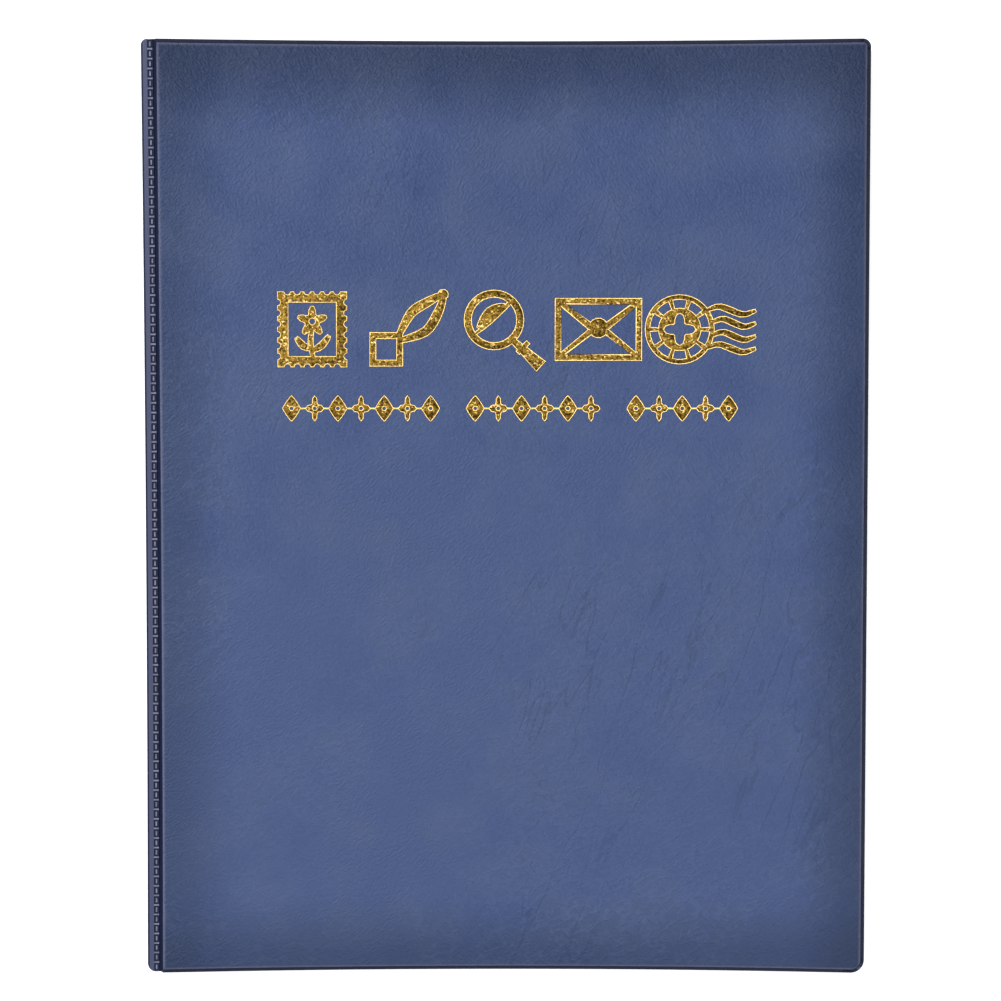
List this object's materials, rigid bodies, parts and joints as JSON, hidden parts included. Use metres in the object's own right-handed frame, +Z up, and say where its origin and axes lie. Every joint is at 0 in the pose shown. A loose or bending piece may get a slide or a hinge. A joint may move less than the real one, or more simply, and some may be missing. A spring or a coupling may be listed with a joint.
{
  "type": "stamp album",
  "caption": "Soft-cover stamp album: padded leatherette covers and double-sided pocket leaves welded into a narrow ladder-seamed binding edge, opening like a book.",
  "frame": {"origin": "under the middle of the album's outline, on the surface that the closed album lies on", "axes": "+X from the binding edge to the fore-edge, +Y from tail to head, +Z up out of the front cover"},
  "size_m": [0.2008, 0.26, 0.0159],
  "materials": {
    "leatherette": "slate-blue PVC leatherette, fine wrinkled grain, satin",
    "welded_vinyl": "darker pressed PVC in the welded rims and the hinge grooves",
    "lining_vinyl": "thin dark PVC lining with a faint grain",
    "grey_board": "raw grey chipboard",
    "foam_sheet": "thin open-cell padding",
    "black_sheet": "black PVC leaf, satin",
    "clear_film": "clear glossy pocket film with welded seams",
    "gold_foil": "hot-stamped gold foil, crackled"
  },
  "bodies": {
    "binding": {"front_binding_strip": "leatherette", "back_binding_strip": "leatherette", "front_hinge_web": "welded_vinyl", "back_hinge_web": "welded_vinyl", "leaf_01_margin": "black_sheet", "leaf_02_margin": "black_sheet", "leaf_03_margin": "black_sheet", "leaf_04_margin": "black_sheet", "leaf_05_margin": "black_sheet", "leaf_06_margin": "black_sheet", "leaf_07_margin": "black_sheet", "leaf_08_margin": "black_sheet", "leaf_09_margin": "black_sheet", "leaf_10_margin": "black_sheet"},
    "front_cover": {"front_cover_skin": "leatherette", "front_cover_foam": "foam_sheet", "front_cover_board": "grey_board", "front_cover_lining": "lining_vinyl", "foil_stamp_emblem": "gold_foil", "foil_tongs_emblem": "gold_foil", "foil_lens_emblem": "gold_foil", "foil_envelope_emblem": "gold_foil", "foil_cancel_emblem": "gold_foil", "foil_border_left": "gold_foil", "foil_border_middle": "gold_foil", "foil_border_right": "gold_foil"},
    "back_cover": {"back_cover_skin": "leatherette", "back_cover_foam": "foam_sheet", "back_cover_board": "grey_board", "back_cover_lining": "lining_vinyl"},
    "leaf_01": {"leaf_01_sheet": "black_sheet", "leaf_01_front_pockets": "clear_film", "leaf_01_back_pockets": "clear_film"},
    "leaf_02": {"leaf_02_sheet": "black_sheet", "leaf_02_front_pockets": "clear_film", "leaf_02_back_pockets": "clear_film"},
    "leaf_03": {"leaf_03_sheet": "black_sheet", "leaf_03_front_pockets": "clear_film", "leaf_03_back_pockets": "clear_film"},
    "leaf_04": {"leaf_04_sheet": "black_sheet", "leaf_04_front_pockets": "clear_film", "leaf_04_back_pockets": "clear_film"},
    "leaf_05": {"leaf_05_sheet": "black_sheet", "leaf_05_front_pockets": "clear_film", "leaf_05_back_pockets": "clear_film"},
    "leaf_06": {"leaf_06_sheet": "black_sheet", "leaf_06_front_pockets": "clear_film", "leaf_06_back_pockets": "clear_film"},
    "leaf_07": {"leaf_07_sheet": "black_sheet", "leaf_07_front_pockets": "clear_film", "leaf_07_back_pockets": "clear_film"},
    "leaf_08": {"leaf_08_sheet": "black_sheet", "leaf_08_front_pockets": "clear_film", "leaf_08_back_pockets": "clear_film"},
    "leaf_09": {"leaf_09_sheet": "black_sheet", "leaf_09_front_pockets": "clear_film", "leaf_09_back_pockets": "clear_film"},
    "leaf_10": {"leaf_10_sheet": "black_sheet", "leaf_10_front_pockets": "clear_film", "leaf_10_back_pockets": "clear_film"}
  },
  "joints": [
    {"name": "front_cover_hinge", "type": "hinge", "parent": "binding", "child": "front_cover", "pos_m": [-0.09645, 0, 0.01444], "axis": [0, -1, 0], "range_deg": [0, 178], "deforming": ["front_hinge_web"]},
    {"name": "back_cover_hinge", "type": "hinge", "parent": "binding", "child": "back_cover", "pos_m": [-0.09645, 0, 0.0014], "axis": [0, 1, 0], "range_deg": [0, 178], "deforming": ["back_hinge_web"]},
    {"name": "leaf_01_hinge", "type": "hinge", "parent": "binding", "child": "leaf_01", "pos_m": [-0.09645, 0, 0.01444], "axis": [0, -1, 0], "range_deg": [0, 178], "deforming": ["leaf_01_margin"]},
    {"name": "leaf_02_hinge", "type": "hinge", "parent": "binding", "child": "leaf_02", "pos_m": [-0.09645, 0, 0.01444], "axis": [0, -1, 0], "range_deg": [0, 178], "deforming": ["leaf_02_margin"]},
    {"name": "leaf_03_hinge", "type": "hinge", "parent": "binding", "child": "leaf_03", "pos_m": [-0.09645, 0, 0.01444], "axis": [0, -1, 0], "range_deg": [0, 178], "deforming": ["leaf_03_margin"]},
    {"name": "leaf_04_hinge", "type": "hinge", "parent": "binding", "child": "leaf_04", "pos_m": [-0.09645, 0, 0.01444], "axis": [0, -1, 0], "range_deg": [0, 178], "deforming": ["leaf_04_margin"]},
    {"name": "leaf_05_hinge", "type": "hinge", "parent": "binding", "child": "leaf_05", "pos_m": [-0.09645, 0, 0.01444], "axis": [0, -1, 0], "range_deg": [0, 178], "deforming": ["leaf_05_margin"]},
    {"name": "leaf_06_hinge", "type": "hinge", "parent": "binding", "child": "leaf_06", "pos_m": [-0.09645, 0, 0.01444], "axis": [0, -1, 0], "range_deg": [0, 178], "deforming": ["leaf_06_margin"]},
    {"name": "leaf_07_hinge", "type": "hinge", "parent": "binding", "child": "leaf_07", "pos_m": [-0.09645, 0, 0.01444], "axis": [0, -1, 0], "range_deg": [0, 178], "deforming": ["leaf_07_margin"]},
    {"name": "leaf_08_hinge", "type": "hinge", "parent": "binding", "child": "leaf_08", "pos_m": [-0.09645, 0, 0.01444], "axis": [0, -1, 0], "range_deg": [0, 178], "deforming": ["leaf_08_margin"]},
    {"name": "leaf_09_hinge", "type": "hinge", "parent": "binding", "child": "leaf_09", "pos_m": [-0.09645, 0, 0.01444], "axis": [0, -1, 0], "range_deg": [0, 178], "deforming": ["leaf_09_margin"]},
    {"name": "leaf_10_hinge", "type": "hinge", "parent": "binding", "child": "leaf_10", "pos_m": [-0.09645, 0, 0.01444], "axis": [0, -1, 0], "range_deg": [0, 178], "deforming": ["leaf_10_margin"]}
  ],
  "couplings": [
    {"joint": "leaf_01_hinge", "follows": "front_cover_hinge", "ratio": 0.97},
    {"joint": "leaf_02_hinge", "follows": "front_cover_hinge", "ratio": 0.93},
    {"joint": "leaf_03_hinge", "follows": "front_cover_hinge", "ratio": 0.88},
    {"joint": "leaf_04_hinge", "follows": "front_cover_hinge", "ratio": 0.82},
    {"joint": "leaf_05_hinge", "follows": "front_cover_hinge", "ratio": 0.74},
    {"joint": "leaf_06_hinge", "follows": "front_cover_hinge", "ratio": 0.26},
    {"joint": "leaf_07_hinge", "follows": "front_cover_hinge", "ratio": 0.18},
    {"joint": "leaf_08_hinge", "follows": "front_cover_hinge", "ratio": 0.12},
    {"joint": "leaf_09_hinge", "follows": "front_cover_hinge", "ratio": 0.07},
    {"joint": "leaf_10_hinge", "follows": "front_cover_hinge", "ratio": 0.03}
  ]
}
